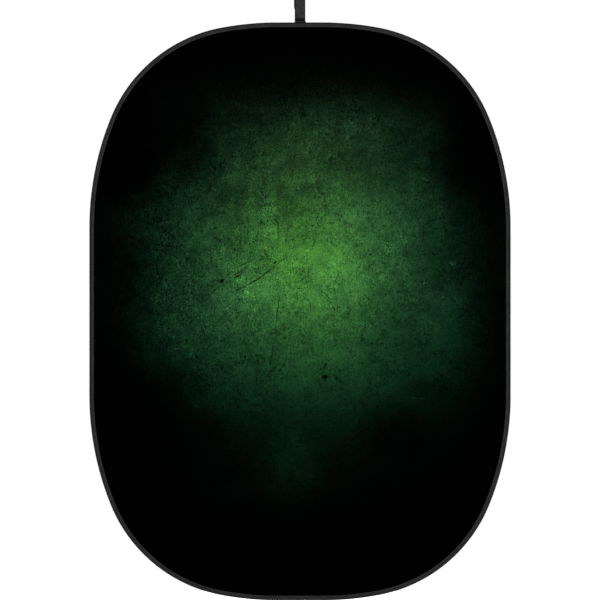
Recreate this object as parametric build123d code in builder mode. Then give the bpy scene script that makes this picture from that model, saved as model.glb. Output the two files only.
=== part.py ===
from build123d import *
from math import asin, cos, radians, sin
import os

# Collapsible backdrop panel: two cloths held taut by a spring-steel hoop, bound all round with folded
# tape, and a webbing loop at the top to hang it by. +X is to the right, +Y to the back and +Z up. The
# origin is the centre of the loop's crown, where the bar or hook that it hangs from lies.

# Outline, as seen from the front: each quarter is half of a straight end, three tangent arcs that together
# make a quarter turn, and half of a straight side
HALF_WIDTH = 750.0
END_LENGTH = 160.0
SIDE_LENGTH = 599.0
SHOULDER_RADIUS, SHOULDER_TURN = 1034.0, 22.2
CORNER_RADIUS, CORNER_TURN = 529.0, 57.1
CROWN_TURN = 90.0 - SHOULDER_TURN - CORNER_TURN

# Binding tape: folded round the hoop and sewn shut through both cloths. Places across the edge are
# measured in from the rim, and to the back or the front from the panel's middle plane.
BINDING_WIDTH = 15.5
TAPE = 0.8  # two layers, turned in
RIM_DEPTH = 6.8  # over the hoop
FLANGE_DEPTH = 1.4  # over the sewn part
SLOPE_START, SLOPE_END = 6.2, 10.6
RIM_ROUNDING, FOLD_ROUNDING = 2.0, 2.5
LAP_LENGTH = 30.0  # where the tape's ends lap, at the middle of the bottom edge

# Binding seam: a row of lockstitches, the needle thread in front and the bobbin thread behind
SEAM_FROM_RIM = 13.0
THREAD_WIDTH, THREAD_HEIGHT = 0.5, 0.25

# Hoop: a flat spring band on edge. Its ends butt in a steel sleeve, held by rivets, under a shrunk wrap.
BAND_THICKNESS, BAND_WIDTH = 1.0, 9.0
BAND_FROM_RIM = 3.3  # to the band's middle
BUTT_GAP = 0.4
SLEEVE_THICKNESS, SLEEVE_WIDTH, SLEEVE_WALL, SLEEVE_LENGTH = 2.4, 10.4, 0.6, 60.0
RIVET_PLACES = (-24.0, -12.0, 12.0, 24.0)  # along the band from the butt
RIVET_RADIUS, RIVET_HOLE_RADIUS = 1.25, 1.3
RIVET_HEAD_RADIUS, RIVET_HEAD_HEIGHT, RIVET_HEAD_TAPER = 2.25, 0.45, 25.0
WRAP_THICKNESS, WRAP_WIDTH, WRAP_WALL, WRAP_LENGTH = 4.6, 11.6, 0.5, 74.0
WRAP_ROUNDING = 1.5

# Cloths: printed in front and plain behind, with their edges caught in the binding
CLOTH = 0.5
CLOTH_FROM_MIDDLE = 0.05
CLOTH_FROM_RIM = 8.0

# Hanging loop: a strip of webbing folded over and sewn to itself at the neck, with its two tails sewn to
# the back of the binding. Heights are above the panel's top edge.
WEBBING, WEBBING_WIDTH = 1.6, 38.0
CROWN_INNER_RADIUS = 12.5
CROWN_HEIGHT = 90.0
HINGE_HEIGHT = 3.0  # the middle of the free stretch where the webbing bends
NECK_HEIGHT = 17.0
TAIL_FROM_RIM = 1.4
BARTACK_WIDTH, BARTACK_PROUD = 36.0, 0.4
NECK_ROW_HEIGHTS, NECK_ROW = (8.6, 12.0, 15.4), 2.6
TAIL_ROW_FROM_RIM, TAIL_ROW = 14.2, 1.8

# Blank label on the back cloth, its end caught at the binding's inner edge
LABEL_LENGTH, LABEL_WIDTH, LABEL = 46.0, 30.0, 0.4
LABEL_BELOW_MIDDLE = 220.0

# Worked out from the sizes above
CROWN_RADIUS = (
    HALF_WIDTH
    - END_LENGTH / 2
    - SHOULDER_RADIUS * (1 - cos(radians(SHOULDER_TURN)))
    - CORNER_RADIUS * (cos(radians(SHOULDER_TURN)) - sin(radians(CROWN_TURN)))
) / sin(radians(CROWN_TURN))
HALF_HEIGHT = (
    SIDE_LENGTH / 2
    + SHOULDER_RADIUS * sin(radians(SHOULDER_TURN))
    + CORNER_RADIUS * (cos(radians(CROWN_TURN)) - sin(radians(SHOULDER_TURN)))
    + CROWN_RADIUS * (1 - cos(radians(CROWN_TURN)))
)
PANEL_TOP = -CROWN_HEIGHT
PANEL_MIDDLE = PANEL_TOP - HALF_HEIGHT
PANEL_BOTTOM = PANEL_MIDDLE - HALF_HEIGHT
PANEL_Y = -(RIM_DEPTH + WEBBING)  # the loop's two layers lie each side of the plane y = 0
HINGE_Z = PANEL_TOP + HINGE_HEIGHT
NECK_Z = PANEL_TOP + NECK_HEIGHT
CROWN_OUTER_RADIUS = CROWN_INNER_RADIUS + WEBBING
LEG_ANGLE = asin(CROWN_INNER_RADIUS / -NECK_Z)  # each leg's lean from upright, from the neck to the crown

FRONT = Plane.XZ.offset(-PANEL_Y)  # the panel's middle plane, facing the front


def rim_line(plane):
    """The panel's outline on a plane, clockwise from the middle of the bottom edge."""
    with BuildLine(plane) as line:
        end = Line((0, PANEL_BOTTOM), (-END_LENGTH / 2, PANEL_BOTTOM))
        arc = JernArc(end @ 1, end % 1, CROWN_RADIUS, -CROWN_TURN)
        arc = JernArc(arc @ 1, arc % 1, CORNER_RADIUS, -CORNER_TURN)
        arc = JernArc(arc @ 1, arc % 1, SHOULDER_RADIUS, -SHOULDER_TURN)
        side = Line(arc @ 1, arc @ 1 + (arc % 1) * SIDE_LENGTH)
        arc = JernArc(side @ 1, side % 1, SHOULDER_RADIUS, -SHOULDER_TURN)
        arc = JernArc(arc @ 1, arc % 1, CORNER_RADIUS, -CORNER_TURN)
        arc = JernArc(arc @ 1, arc % 1, CROWN_RADIUS, -CROWN_TURN)
        Line(arc @ 1, (0, PANEL_TOP))
        mirror(about=Plane.YZ)
    return line.wires()[0]


def end_line(half_length, z):
    """A stretch astride the middle of the top or the bottom edge, to the right if half_length is above 0."""
    with BuildLine() as line:
        Line((-half_length, PANEL_Y, z), (half_length, PANEL_Y, z))
    return line.edges()[0]


def bottom_line(length):
    """A stretch of the bottom edge, clockwise."""
    return end_line(-length / 2, PANEL_BOTTOM)


def top_line(length):
    """A stretch of the top edge, clockwise."""
    return end_line(length / 2, PANEL_TOP)


def across(path):
    """The plane across the rim where a path starts: x in from the rim, y to the back."""
    return Plane(origin=path @ 0, x_dir=Vector(0, 1, 0).cross(path % 0), z_dir=path % 0)


def facing_in(place, from_rim):
    """A plane that faces in from the bottom edge, at a place along it from its middle."""
    return Plane(origin=(place, PANEL_Y, PANEL_BOTTOM + from_rim), x_dir=(0, 1, 0), z_dir=(0, 0, 1))


def edge_shape(grown=0.0):
    """The outer shape of the bound edge, from the rim to a little past the tape's inner edge."""
    end = BINDING_WIDTH + RIM_DEPTH
    with BuildSketch() as shape:
        with BuildLine():
            rim = Line((0, 0), (0, RIM_DEPTH))
            slope = Polyline(rim @ 1, (SLOPE_START, RIM_DEPTH), (SLOPE_END, FLANGE_DEPTH))
            Polyline(slope @ 1, (end, FLANGE_DEPTH), (end, 0))
            mirror(about=Plane.XZ)
        make_face()
        fillet(shape.vertices().group_by(Axis.X)[0], radius=RIM_ROUNDING)
        folds = shape.vertices().filter_by_position(Axis.X, SLOPE_START, SLOPE_END)
        fillet(folds, radius=FOLD_ROUNDING)
        if grown:
            offset(amount=grown, kind=Kind.INTERSECTION)
    return shape.sketch


def layer(inner, outer):
    """What lies between two heights over the bound edge, as far in as the tape goes."""
    with BuildSketch() as section:
        add(edge_shape(outer))
        add(edge_shape(inner), mode=Mode.SUBTRACT)
        with Locations((BINDING_WIDTH, 0)):
            Rectangle(4 * BINDING_WIDTH, 4 * RIM_DEPTH, align=(Align.MAX, Align.CENTER), mode=Mode.INTERSECT)
    return section.sketch


def stretch(inner, outer, from_rim, width, side):
    """The part of a layer between two places in from the rim, given as a middle and a width, on the panel's
    front (side -1) or its back (side 1)."""
    with BuildSketch() as section:
        add(layer(inner, outer))
        with Locations((from_rim, side * 2 * RIM_DEPTH)):
            Rectangle(width, 4 * RIM_DEPTH, mode=Mode.INTERSECT)
    return section.sketch


def seam_thread(side):
    return stretch(0, THREAD_HEIGHT, SEAM_FROM_RIM, THREAD_WIDTH, side)


def cloth_shape():
    """The shape of a cloth, which stops inside the binding."""
    with BuildSketch() as shape:
        make_face(rim_line(Plane.XY).edges())
        offset(amount=-CLOTH_FROM_RIM)
    return shape.sketch


def teardrop(radius, neck_half):
    """A circle about the crown's centre, drawn down by two tangents to half of the neck's thickness."""
    side, up = cos(LEG_ANGLE), sin(LEG_ANGLE)
    with BuildSketch() as shape:
        with BuildLine():
            foot = (neck_half, (neck_half * side - radius) / up)
            leg = Line(foot, (radius * side, -radius * up))
            ThreePointArc(leg @ 1, (0, radius), (-radius * side, -radius * up))
            mirror(leg, about=Plane.YZ)
            if neck_half:
                Line(foot, (-foot[0], foot[1]))
        make_face()
    return shape.sketch


rim = rim_line(FRONT)

# The hoop
with BuildPart() as spring_band:
    with BuildSketch(across(rim)):
        with Locations((BAND_FROM_RIM, 0)):
            Rectangle(BAND_THICKNESS, BAND_WIDTH)
    sweep(path=rim)
    with Locations((0, PANEL_Y, PANEL_BOTTOM + BAND_FROM_RIM)):
        Box(BUTT_GAP, 2 * BAND_WIDTH, 2 * BAND_THICKNESS, mode=Mode.SUBTRACT)
    for place in RIVET_PLACES:
        with BuildSketch(facing_in(place, BAND_FROM_RIM)):
            Circle(RIVET_HOLE_RADIUS)
        extrude(amount=BAND_THICKNESS, both=True, mode=Mode.SUBTRACT)
spring_band.part.label = "spring_band"

with BuildPart() as band_sleeve:
    with BuildSketch(across(bottom_line(SLEEVE_LENGTH))):
        with Locations((BAND_FROM_RIM, 0)):
            RectangleRounded(SLEEVE_THICKNESS, SLEEVE_WIDTH, SLEEVE_WALL)
            Rectangle(SLEEVE_THICKNESS - 2 * SLEEVE_WALL, SLEEVE_WIDTH - 2 * SLEEVE_WALL, mode=Mode.SUBTRACT)
    sweep(path=bottom_line(SLEEVE_LENGTH))
    for place in RIVET_PLACES:
        with BuildSketch(facing_in(place, BAND_FROM_RIM)):
            Circle(RIVET_HOLE_RADIUS)
        extrude(amount=SLEEVE_THICKNESS, both=True, mode=Mode.SUBTRACT)
band_sleeve.part.label = "band_sleeve"

head_from_middle = SLEEVE_THICKNESS / 2
with BuildPart() as band_rivets:
    for place in RIVET_PLACES:
        with BuildSketch(facing_in(place, BAND_FROM_RIM)):
            Circle(RIVET_RADIUS)
        extrude(amount=head_from_middle, both=True)
        for side in (-1, 1):
            with BuildSketch(facing_in(place, BAND_FROM_RIM + side * head_from_middle)):
                Circle(RIVET_HEAD_RADIUS)
            extrude(amount=side * RIVET_HEAD_HEIGHT, taper=RIVET_HEAD_TAPER)
band_rivets.part.label = "band_rivets"

with BuildPart() as sleeve_wrap:
    with BuildSketch(across(bottom_line(WRAP_LENGTH))):
        with Locations((BAND_FROM_RIM, 0)):
            RectangleRounded(WRAP_THICKNESS, WRAP_WIDTH, WRAP_ROUNDING)
        offset(amount=-WRAP_WALL, mode=Mode.SUBTRACT)
    sweep(path=bottom_line(WRAP_LENGTH))
sleeve_wrap.part.label = "sleeve_wrap"

# The cloths
with BuildPart() as front_cloth:
    with BuildSketch(FRONT.offset(CLOTH_FROM_MIDDLE)):
        add(cloth_shape())
    extrude(amount=CLOTH)
front_cloth.part.label = "front_cloth"

with BuildPart() as back_cloth:
    with BuildSketch(FRONT.offset(-CLOTH_FROM_MIDDLE)):
        add(cloth_shape())
    extrude(amount=-CLOTH)
back_cloth.part.label = "back_cloth"

# The binding, its seam and the label
with BuildPart() as binding_tape:
    with BuildSketch(across(rim)):
        add(layer(-TAPE, 0))
    sweep(path=rim)
    with BuildSketch(across(bottom_line(LAP_LENGTH))):
        add(layer(0, TAPE))
        for side in (-1, 1):
            add(seam_thread(side), mode=Mode.SUBTRACT)
    sweep(path=bottom_line(LAP_LENGTH))
binding_tape.part.label = "binding_tape"

with BuildPart() as binding_needle_thread:
    with BuildSketch(across(rim)):
        add(seam_thread(-1))
    sweep(path=rim)
binding_needle_thread.part.label = "binding_needle_thread"

with BuildPart() as binding_bobbin_thread:
    with BuildSketch(across(rim)):
        add(seam_thread(1))
    sweep(path=rim)
binding_bobbin_thread.part.label = "binding_bobbin_thread"

label_x = HALF_WIDTH - BINDING_WIDTH - LABEL_LENGTH / 2
label_y = PANEL_Y + CLOTH_FROM_MIDDLE + CLOTH + LABEL / 2
with BuildPart() as care_label:
    with Locations((label_x, label_y, PANEL_MIDDLE - LABEL_BELOW_MIDDLE)):
        Box(LABEL_LENGTH, LABEL, LABEL_WIDTH)
care_label.part.label = "care_label"

# The hanging loop: its sewn tails stay with the panel, and the rest bends over the panel's edge
with BuildPart() as loop_tails:
    with BuildSketch(across(top_line(WEBBING_WIDTH))):
        add(stretch(0, 2 * WEBBING, (TAIL_FROM_RIM + BINDING_WIDTH) / 2, BINDING_WIDTH - TAIL_FROM_RIM, 1))
        add(seam_thread(1), mode=Mode.SUBTRACT)
    sweep(path=top_line(WEBBING_WIDTH))
loop_tails.part.label = "loop_tails"

with BuildPart() as tail_bartacks:
    with BuildSketch(across(top_line(BARTACK_WIDTH))):
        add(stretch(0, BARTACK_PROUD, TAIL_ROW_FROM_RIM, TAIL_ROW, -1))
        add(stretch(2 * WEBBING, 2 * WEBBING + BARTACK_PROUD, TAIL_ROW_FROM_RIM, TAIL_ROW, 1))
    sweep(path=top_line(BARTACK_WIDTH))
tail_bartacks.part.label = "tail_bartacks"

with BuildPart() as hanging_loop:
    with BuildSketch(Plane.YZ.offset(-WEBBING_WIDTH / 2)):
        with Locations((0, (HINGE_Z + NECK_Z) / 2)):
            Rectangle(2 * WEBBING, NECK_Z - HINGE_Z)
        with Locations((0, HINGE_Z)):
            Circle(WEBBING)
        add(teardrop(CROWN_OUTER_RADIUS, WEBBING))
        add(teardrop(CROWN_INNER_RADIUS, 0), mode=Mode.SUBTRACT)
    extrude(amount=WEBBING_WIDTH)
hanging_loop.part.label = "hanging_loop"

with BuildPart() as neck_bartacks:
    for height in NECK_ROW_HEIGHTS:
        for side in (-1, 1):
            with Locations((0, side * (WEBBING + BARTACK_PROUD / 2), PANEL_TOP + height)):
                Box(BARTACK_WIDTH, BARTACK_PROUD, NECK_ROW)
neck_bartacks.part.label = "neck_bartacks"

parts = (
    spring_band,
    band_sleeve,
    band_rivets,
    sleeve_wrap,
    front_cloth,
    back_cloth,
    binding_tape,
    binding_needle_thread,
    binding_bobbin_thread,
    care_label,
    loop_tails,
    tail_bartacks,
    hanging_loop,
    neck_bartacks,
)
os.makedirs("parts", exist_ok=True)
for piece in parts:
    export_step(piece.part, f"parts/{piece.part.label}.step")
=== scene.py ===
from functools import reduce
from math import asin, atan2, ceil, cos, hypot, pi, radians, sin, sqrt, tan
from operator import add

import bmesh
import bpy
import numpy as np
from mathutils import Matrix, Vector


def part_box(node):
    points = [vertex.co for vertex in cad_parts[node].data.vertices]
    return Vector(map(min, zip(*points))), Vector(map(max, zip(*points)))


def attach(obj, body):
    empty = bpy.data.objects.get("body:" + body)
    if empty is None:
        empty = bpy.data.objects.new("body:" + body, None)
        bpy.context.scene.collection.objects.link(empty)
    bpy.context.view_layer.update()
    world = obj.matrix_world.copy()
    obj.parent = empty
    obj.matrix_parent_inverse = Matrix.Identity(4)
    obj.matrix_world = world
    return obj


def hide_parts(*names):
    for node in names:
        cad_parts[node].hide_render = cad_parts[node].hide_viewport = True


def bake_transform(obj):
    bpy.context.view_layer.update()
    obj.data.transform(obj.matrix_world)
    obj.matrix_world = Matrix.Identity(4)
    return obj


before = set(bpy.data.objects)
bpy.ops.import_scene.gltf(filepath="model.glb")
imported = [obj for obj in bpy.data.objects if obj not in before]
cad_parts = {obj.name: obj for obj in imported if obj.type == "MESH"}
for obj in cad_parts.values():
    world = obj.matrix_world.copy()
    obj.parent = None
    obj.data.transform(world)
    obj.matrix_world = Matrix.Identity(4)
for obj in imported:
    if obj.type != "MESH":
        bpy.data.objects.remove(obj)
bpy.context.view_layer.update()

# A collapsible backdrop panel: a printed cloth and a lining held taut by a spring hoop in a sewn tape
# binding, with a webbing loop to hang it by. Metres, in the frame's axes: +X right, +Y to the back, +Z up.

MM = 0.001
CM = 0.01

# --- places read from the frame

_, tape_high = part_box("binding_tape")
front_low, front_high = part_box("front_cloth")
_, back_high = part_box("back_cloth")
loop_low, loop_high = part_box("hanging_loop")
label_low, label_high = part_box("care_label")

MIDDLE_Y = (front_low.y + back_high.y) / 2
MIDDLE_Z = (front_low.z + front_high.z) / 2
HALF_WIDTH = tape_high.x
PANEL_TOP = tape_high.z
PANEL_BOTTOM = 2 * MIDDLE_Z - PANEL_TOP

# --- sizes that the frame doesn't state

# Outline: each quarter is half a straight end, three tangent arcs and half a straight side
END_LENGTH = 0.160
SIDE_LENGTH = 0.599
SHOULDER_RADIUS, SHOULDER_TURN = 1.034, radians(22.2)
CORNER_RADIUS, CORNER_TURN = 0.529, radians(57.1)
CROWN_TURN = pi / 2 - SHOULDER_TURN - CORNER_TURN
CROWN_RADIUS = (
    HALF_WIDTH
    - END_LENGTH / 2
    - SHOULDER_RADIUS * (1 - cos(SHOULDER_TURN))
    - CORNER_RADIUS * (cos(SHOULDER_TURN) - sin(CROWN_TURN))
) / sin(CROWN_TURN)

# Binding, measured in from the rim and out from the panel's middle plane
BINDING_WIDTH = 15.5 * MM
TAPE = 0.8 * MM
RIM_DEPTH = 6.8 * MM
FLANGE_DEPTH = 1.4 * MM
SLOPE_START, SLOPE_END = 6.2 * MM, 10.6 * MM
LAP_LENGTH = 30 * MM
LAP_RAMP = 7 * MM
SEAM_FROM_RIM = 13 * MM
STITCH_PITCH = 3.2 * MM
SEAM_RADIUS, SEAM_LIFT = 0.21 * MM, 0.20 * MM

# Cloths: both faces of each, out from the middle plane, and the pitch of their threads
CLOTH_NEAR, CLOTH_FAR = 0.06 * MM, 0.52 * MM
PRINT_THREADS, LINING_THREADS = 0.7 * MM, 0.6 * MM
LOOSE_FROM_TO = (40 * MM, 300 * MM)  # in from the rim, where the lining comes to stand off

# Webbing. NECK_ROWS are the heights of the neck's bartacks, up from the rim
WEBBING = 1.6 * MM
WEBBING_WIDTH = loop_high.x - loop_low.x
CHEVRON = 4.75 * MM
YARN_PITCH = 1.25 * MM
CROWN_LINE_RADIUS = loop_high.z - WEBBING / 2
NECK_Z = PANEL_TOP + 17 * MM
NECK_ROWS = (8.6 * MM, 12.0 * MM, 15.4 * MM)
TACK_WIDTH, TACK_PITCH = 36 * MM, 0.44 * MM
TACK_RADIUS, TACK_LIFT = 0.215 * MM, 0.30 * MM

# Camera and floor. WIDTH_SEEN is the view's width at the panel, and CAMERA_RISE is above its middle
CAMERA_DISTANCE = 9.0
CAMERA_RISE = 0.0406
WIDTH_SEEN = 2.139
FLOOR_RADIUS = 5.5
FLOOR_DROP = 0.6


# --- the rim's line

def inward(turned):
    """The way in from the rim in (x, z), where the outline has turned so far since its bottom middle."""
    return np.stack([np.sin(turned), np.cos(turned)], -1)


def ahead(turned):
    """The way along the rim there, clockwise as seen from the front."""
    return np.stack([-np.cos(turned), np.sin(turned)], -1)


def outline_runs():
    """Each run of the rim, clockwise from the middle of the bottom edge: start along the rim, length,
    start point, turn so far, radius (none for a straight run)."""
    crown, corner = (CROWN_RADIUS, CROWN_TURN), (CORNER_RADIUS, CORNER_TURN)
    shoulder = (SHOULDER_RADIUS, SHOULDER_TURN)
    end = (None, END_LENGTH / 2)
    half = [end, crown, corner, shoulder, (None, SIDE_LENGTH), shoulder, corner, crown, end]
    along, point, turned, runs = 0.0, np.array([0.0, PANEL_BOTTOM]), 0.0, []
    for radius, amount in half + half:
        length = amount if radius is None else radius * amount
        runs.append((along, length, point, turned, radius))
        if radius is None:
            point = point + ahead(turned) * length
        else:
            point = point + (inward(turned) - inward(turned + amount)) * radius
            turned += amount
        along += length
    return runs


RUNS = outline_runs()
RIM_LENGTH = RUNS[-1][0] + RUNS[-1][1]


def rim(along):
    """Points (x, z) on the rim, and the ways in from it, at distances along it."""
    along = np.mod(np.asarray(along, float), RIM_LENGTH)
    point, turn = np.zeros(along.shape + (2,)), np.zeros(along.shape)
    for start, length, corner, turned, radius in RUNS:
        here = (along >= start) & (along <= start + length)
        past = along[here] - start
        if radius is None:
            turn[here] = turned
            point[here] = corner + ahead(turned) * past[:, None]
        else:
            turn[here] = turned + past / radius
            point[here] = corner + (inward(turned) - inward(turn[here])) * radius
    return point, inward(turn)


def tightness(along):
    """How gathered the tape is: 0 on the straight sides, 1 in the corners, changing gently between."""
    samples = np.arange(0, RIM_LENGTH, 10 * MM)
    values = np.zeros_like(samples)
    for start, length, _, _, radius in RUNS:
        if radius is not None:
            values[(samples >= start) & (samples <= start + length)] = CORNER_RADIUS / radius
    kernel = np.hanning(19)
    kernel /= kernel.sum()
    wrapped = np.concatenate([values[-9:], values, values[:9]])
    smooth = np.convolve(wrapped, kernel, "valid")
    return np.interp(np.mod(along, RIM_LENGTH), samples, smooth, period=RIM_LENGTH)


def ripple(along, shortest, longest, waves, seed):
    """An uneven ripple along the rim, from about -1 to 1, that closes on itself."""
    draw = np.random.default_rng(seed)
    counts = np.round(RIM_LENGTH / draw.uniform(shortest, longest, waves))
    phases = draw.uniform(0, 2 * pi, waves)
    angle = 2 * pi * np.asarray(along)[..., None] / RIM_LENGTH * counts + phases
    return np.sin(angle).sum(-1) / sqrt(waves * 2)


def smooth_step(low, high, value):
    """0 up to low and 1 from high on, eased between them. low may be above high."""
    t = np.clip((np.asarray(value, float) - low) / (high - low), 0, 1)
    return t * t * (3 - 2 * t)


def on_panel(along, from_rim, depth):
    """Points in the frame: places along the rim, in from it, and behind the middle plane."""
    point, way_in = rim(along)
    flat = point + way_in * np.asarray(from_rim)[..., None]
    return np.stack([flat[..., 0], MIDDLE_Y + np.asarray(depth) + 0 * flat[..., 0], flat[..., 1]], -1)


# --- meshes

def unit(vectors):
    return vectors / np.linalg.norm(vectors, axis=-1, keepdims=True)


def grid_faces(rows, columns, round_it=True, first=0):
    """The quads of a grid of points, given row by row. round_it joins the last column to the first."""
    i, j = np.meshgrid(np.arange(rows - 1), np.arange(columns if round_it else columns - 1), indexing="ij")
    beside = (j + 1) % columns
    corners = [i * columns + j, i * columns + beside, (i + 1) * columns + beside, (i + 1) * columns + j]
    return (first + np.stack(corners, -1)).reshape(-1, 4)


def end_faces(rows, columns):
    """The faces that close a tube of such a grid, at its first row and its last."""
    return [list(range(columns))[::-1], list(range((rows - 1) * columns, rows * columns))]


def add_object(name, data):
    made = bpy.data.objects.new(name, data)
    bpy.context.scene.collection.objects.link(made)
    return made


def make_piece(name, points, faces, material, weave=None):
    """A mesh object. weave gives each point's place along and across its cloth, for its material."""
    mesh = bpy.data.meshes.new(name)
    mesh.from_pydata(np.asarray(points).reshape(-1, 3).tolist(), [], [list(map(int, f)) for f in faces])
    work = bmesh.new()
    work.from_mesh(mesh)
    bmesh.ops.recalc_face_normals(work, faces=work.faces)
    work.to_mesh(mesh)
    work.free()
    if weave is not None:
        values = np.asarray(weave, np.float32).reshape(-1, 2)
        attribute = mesh.attributes.new("weave", "FLOAT_VECTOR", "POINT")
        attribute.data.foreach_set("vector", np.column_stack([values, 0 * values[:, :1]]).ravel())
    mesh.polygons.foreach_set("use_smooth", [True] * len(mesh.polygons))
    mesh.materials.append(material)
    piece = add_object(name, mesh)
    return piece


def rounded_line(corners):
    """Points along a line of straight runs and arcs. Each corner is its point, its radius, and the parts
    in the run before it and in its arc."""
    points = [np.array(corners[0][0], float)]
    for index in range(1, len(corners)):
        corner, radius, run_parts, arc_parts = corners[index]
        corner = np.array(corner, float)
        start, arc = points[-1], []
        if radius and index < len(corners) - 1:
            back = unit(start - corner)
            onward = unit(np.array(corners[index + 1][0], float) - corner)
            half = np.arccos(np.clip(back @ onward, -1, 1)) / 2
            centre = corner + unit(back + onward) * radius / sin(half)
            first, last = corner + back * radius / tan(half), corner + onward * radius / tan(half)
            for part in range(1, arc_parts + 1):
                share = part / arc_parts
                mixed = (first - centre) * (1 - share) + (last - centre) * share
                arc.append(centre + unit(mixed) * radius)
            corner = first
        for part in range(1, run_parts + 1):
            points.append(start + (corner - start) * part / run_parts)
        points += arc
    return np.array(points)


def distances(points):
    """How far along a line of points each one is."""
    return np.concatenate([[0], np.cumsum(np.linalg.norm(np.diff(points, axis=0), axis=1))])


def make_stitches(name, node, body, material, starts, ends, side, lift, radius):
    """A piece of short threads from starts to ends, with ends that dive into the cloth. side, -1 for the
    front or 1 for the back, is where they bow out to by lift: one for all, or one for each."""
    shares = np.array([0, 0.1, 0.3, 0.5, 0.7, 0.9, 1.0])
    heights = np.array([-1.0, -0.1, 0.8, 1.0, 0.8, -0.1, -1.0])
    widths = np.array([0.55, 0.9, 1.0, 1.0, 1.0, 0.9, 0.55])
    count, rings, corners = len(starts), len(shares), 6
    spans = ends - starts
    line = unit(spans)
    beside = unit(np.cross(line, np.outer(side, (0, 1, 0))))
    over = np.cross(beside, line)
    angles = np.arange(corners) * 2 * pi / corners
    middle = starts[:, None] + spans[:, None] * shares[:, None] + over[:, None] * (heights * lift)[:, None]
    around = beside[:, None, None] * np.cos(angles)[:, None] + over[:, None, None] * np.sin(angles)[:, None]
    points = middle[:, :, None] + around * (radius * widths)[:, None, None]
    one = grid_faces(rings, corners).tolist() + end_faces(rings, corners)
    faces = [[v + k * rings * corners for v in f] for k in range(count) for f in one]
    along = np.linalg.norm(spans, axis=1)[:, None, None] * shares[:, None] + 0 * angles
    weave = np.stack([along, 0 * along + angles * radius], -1)
    piece = make_piece(name, points, faces, material, weave)
    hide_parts(node)
    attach(piece, body)


# --- materials

def arithmetic(name, swapped=False):
    """An operator of Value, which makes a node for it."""

    def combine(a, b):
        return a.shader.math(name, b, a) if swapped else a.shader.math(name, a, b)

    return combine


class Value:
    """A node's output, for sums and products with other ones and with numbers."""

    def __init__(self, shader, socket):
        self.shader, self.socket = shader, socket

    __add__, __radd__ = arithmetic("ADD"), arithmetic("ADD", swapped=True)
    __sub__, __rsub__ = arithmetic("SUBTRACT"), arithmetic("SUBTRACT", swapped=True)
    __mul__, __rmul__ = arithmetic("MULTIPLY"), arithmetic("MULTIPLY", swapped=True)

    def __abs__(self):
        return self.shader.math("ABSOLUTE", self)


class Shader:
    """A material, with short names for the nodes that make it."""

    def __init__(self, name, specular=0.5, roughness=0.5, metallic=0.0):
        self.material = bpy.data.materials.new(name)
        self.material.use_nodes = True
        self.tree = self.material.node_tree
        self.surface = self.tree.nodes["Principled BSDF"]
        self.relief = None
        finish = {"Roughness": roughness, "Specular IOR Level": specular, "Metallic": metallic}
        self.fill(self.surface, finish)

    def new(self, kind):
        return self.tree.nodes.new("ShaderNode" + kind)

    def fill(self, node, values, output=0):
        """Link or set a node's inputs, by name or number, and give one of its outputs."""
        for name, value in values.items():
            if isinstance(value, Value):
                self.tree.links.new(value.socket, node.inputs[name])
            elif value is not None:
                node.inputs[name].default_value = value
        return Value(self, node.outputs[output])

    def set(self, name, value):
        self.fill(self.surface, {name: value})

    def math(self, operation, a, b=None, c=None):
        node = self.new("Math")
        node.operation = operation
        return self.fill(node, {0: a, 1: b, 2: c})

    def vectors(self, operation, a, b=None, scale=None, output="Vector"):
        node = self.new("VectorMath")
        node.operation = operation
        return self.fill(node, {0: a, 1: b, "Scale": scale}, output)

    def scaled(self, colour, amount):
        return self.vectors("SCALE", colour, scale=amount)

    def place(self):
        """The point on the piece, in metres."""
        return self.fill(self.new("TexCoord"), {}, "Object")

    def weave_place(self):
        """The piece's own place along and across its cloth, in metres."""
        node = self.new("Attribute")
        node.attribute_name = "weave"
        return self.fill(node, {}, "Vector")

    def parts(self, vector):
        node = self.new("SeparateXYZ")
        self.fill(node, {0: vector})
        return [Value(self, output) for output in node.outputs]

    def joined(self, x, y, z):
        return self.fill(self.new("CombineXYZ"), {0: x, 1: y, 2: z})

    def moved(self, vector, offset=(0, 0, 0), turn=(0, 0, 0), scale=(1, 1, 1), kind="POINT"):
        node = self.new("Mapping")
        node.vector_type = kind
        return self.fill(node, {"Vector": vector, "Location": offset, "Rotation": turn, "Scale": scale})

    def noise(self, vector, scale, detail=2.0, roughness=0.5, distortion=0.0, output="Fac"):
        values = {"Vector": vector, "Scale": scale, "Detail": detail, "Roughness": roughness}
        return self.fill(self.new("TexNoise"), {**values, "Distortion": distortion}, output)

    def swing(self, *noise):
        """Noise about 0, from -0.5 to 0.5."""
        return self.noise(*noise) - 0.5

    def spread(self, value, low, high, to_low=0.0, to_high=1.0, smooth=False):
        """value moved from one range to another, and kept within it."""
        node = self.new("MapRange")
        node.interpolation_type = "SMOOTHSTEP" if smooth else "LINEAR"
        values = {"From Min": low, "From Max": high, "To Min": to_low, "To Max": to_high, "Value": value}
        return self.fill(node, values, "Result")

    def blend(self, share, a, b):
        """A colour from a to b."""
        node = self.new("Mix")
        node.data_type = "RGBA"
        return self.fill(node, {"Factor": share, 6: a, 7: b}, 2)

    def wave(self, value, period):
        """A ripple from 0 to 1 with that period, in metres."""
        turn = self.math("SINE", value * (2 * pi / period))
        return self.math("MULTIPLY_ADD", turn, 0.5, 0.5)

    def bump(self, height, distance, strength):
        """Relief on the surface, over any that is there already."""
        values = {"Height": height, "Distance": distance, "Strength": strength, "Normal": self.relief}
        self.relief = self.fill(self.new("Bump"), values)
        self.set("Normal", self.relief)


def grey(value, warmth=0.0):
    return (value * (1 + warmth), value, value * (1 - warmth), 1.0)


# Print: places are across and up from the glow's middle
GLOW_X, GLOW_Z = 0.018, MIDDLE_Z + 0.164
GLOW_WIDTH, GLOW_HEIGHT, GLOW_POWER = 0.292, 0.305, 1.6
GLOW_GREEN = 0.187

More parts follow.
